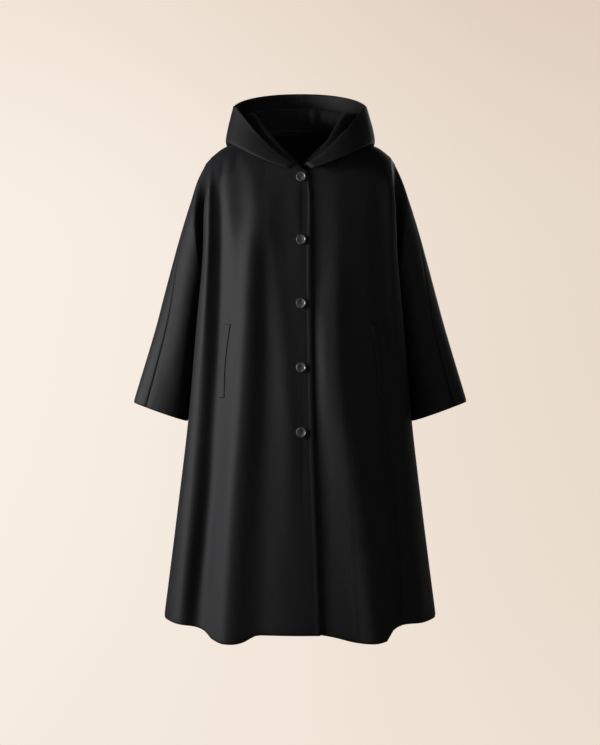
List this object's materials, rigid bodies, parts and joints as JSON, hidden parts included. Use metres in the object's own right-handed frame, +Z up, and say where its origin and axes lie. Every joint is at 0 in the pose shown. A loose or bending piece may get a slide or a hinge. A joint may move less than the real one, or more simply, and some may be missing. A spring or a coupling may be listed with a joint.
{
  "type": "wool cloak",
  "caption": "Long flared wool cloak with a soft hood, wide open sleeves, slanted pocket welts and a buttoned front, filled out as worn.",
  "frame": {"origin": "middle of the base of the neck, 16 mm below the inner ends of the shoulder seams, where the wearer's neck and shoulders carry the cloak", "axes": "+Z up, the front faces -Y, +X towards the wearer's left"},
  "size_m": [0.7762, 0.4178, 1.2716],
  "materials": {
    "wool": "matt fulled wool with a short soft nap",
    "tape": "flat woven tape",
    "horn": "polished horn look"
  },
  "bodies": {
    "root": {"front_right": "wool", "front_left": "wool", "back_right": "wool", "back_left": "wool", "sleeve_right_front": "wool", "sleeve_right_back": "wool", "sleeve_left_front": "wool", "sleeve_left_back": "wool", "hood_right": "wool", "hood_left": "wool", "welt_right": "wool", "welt_left": "wool", "neck_tape": "tape", "button_1": "horn", "button_2": "horn", "button_3": "horn", "button_4": "horn", "button_5": "horn"}
  },
  "joints": []
}
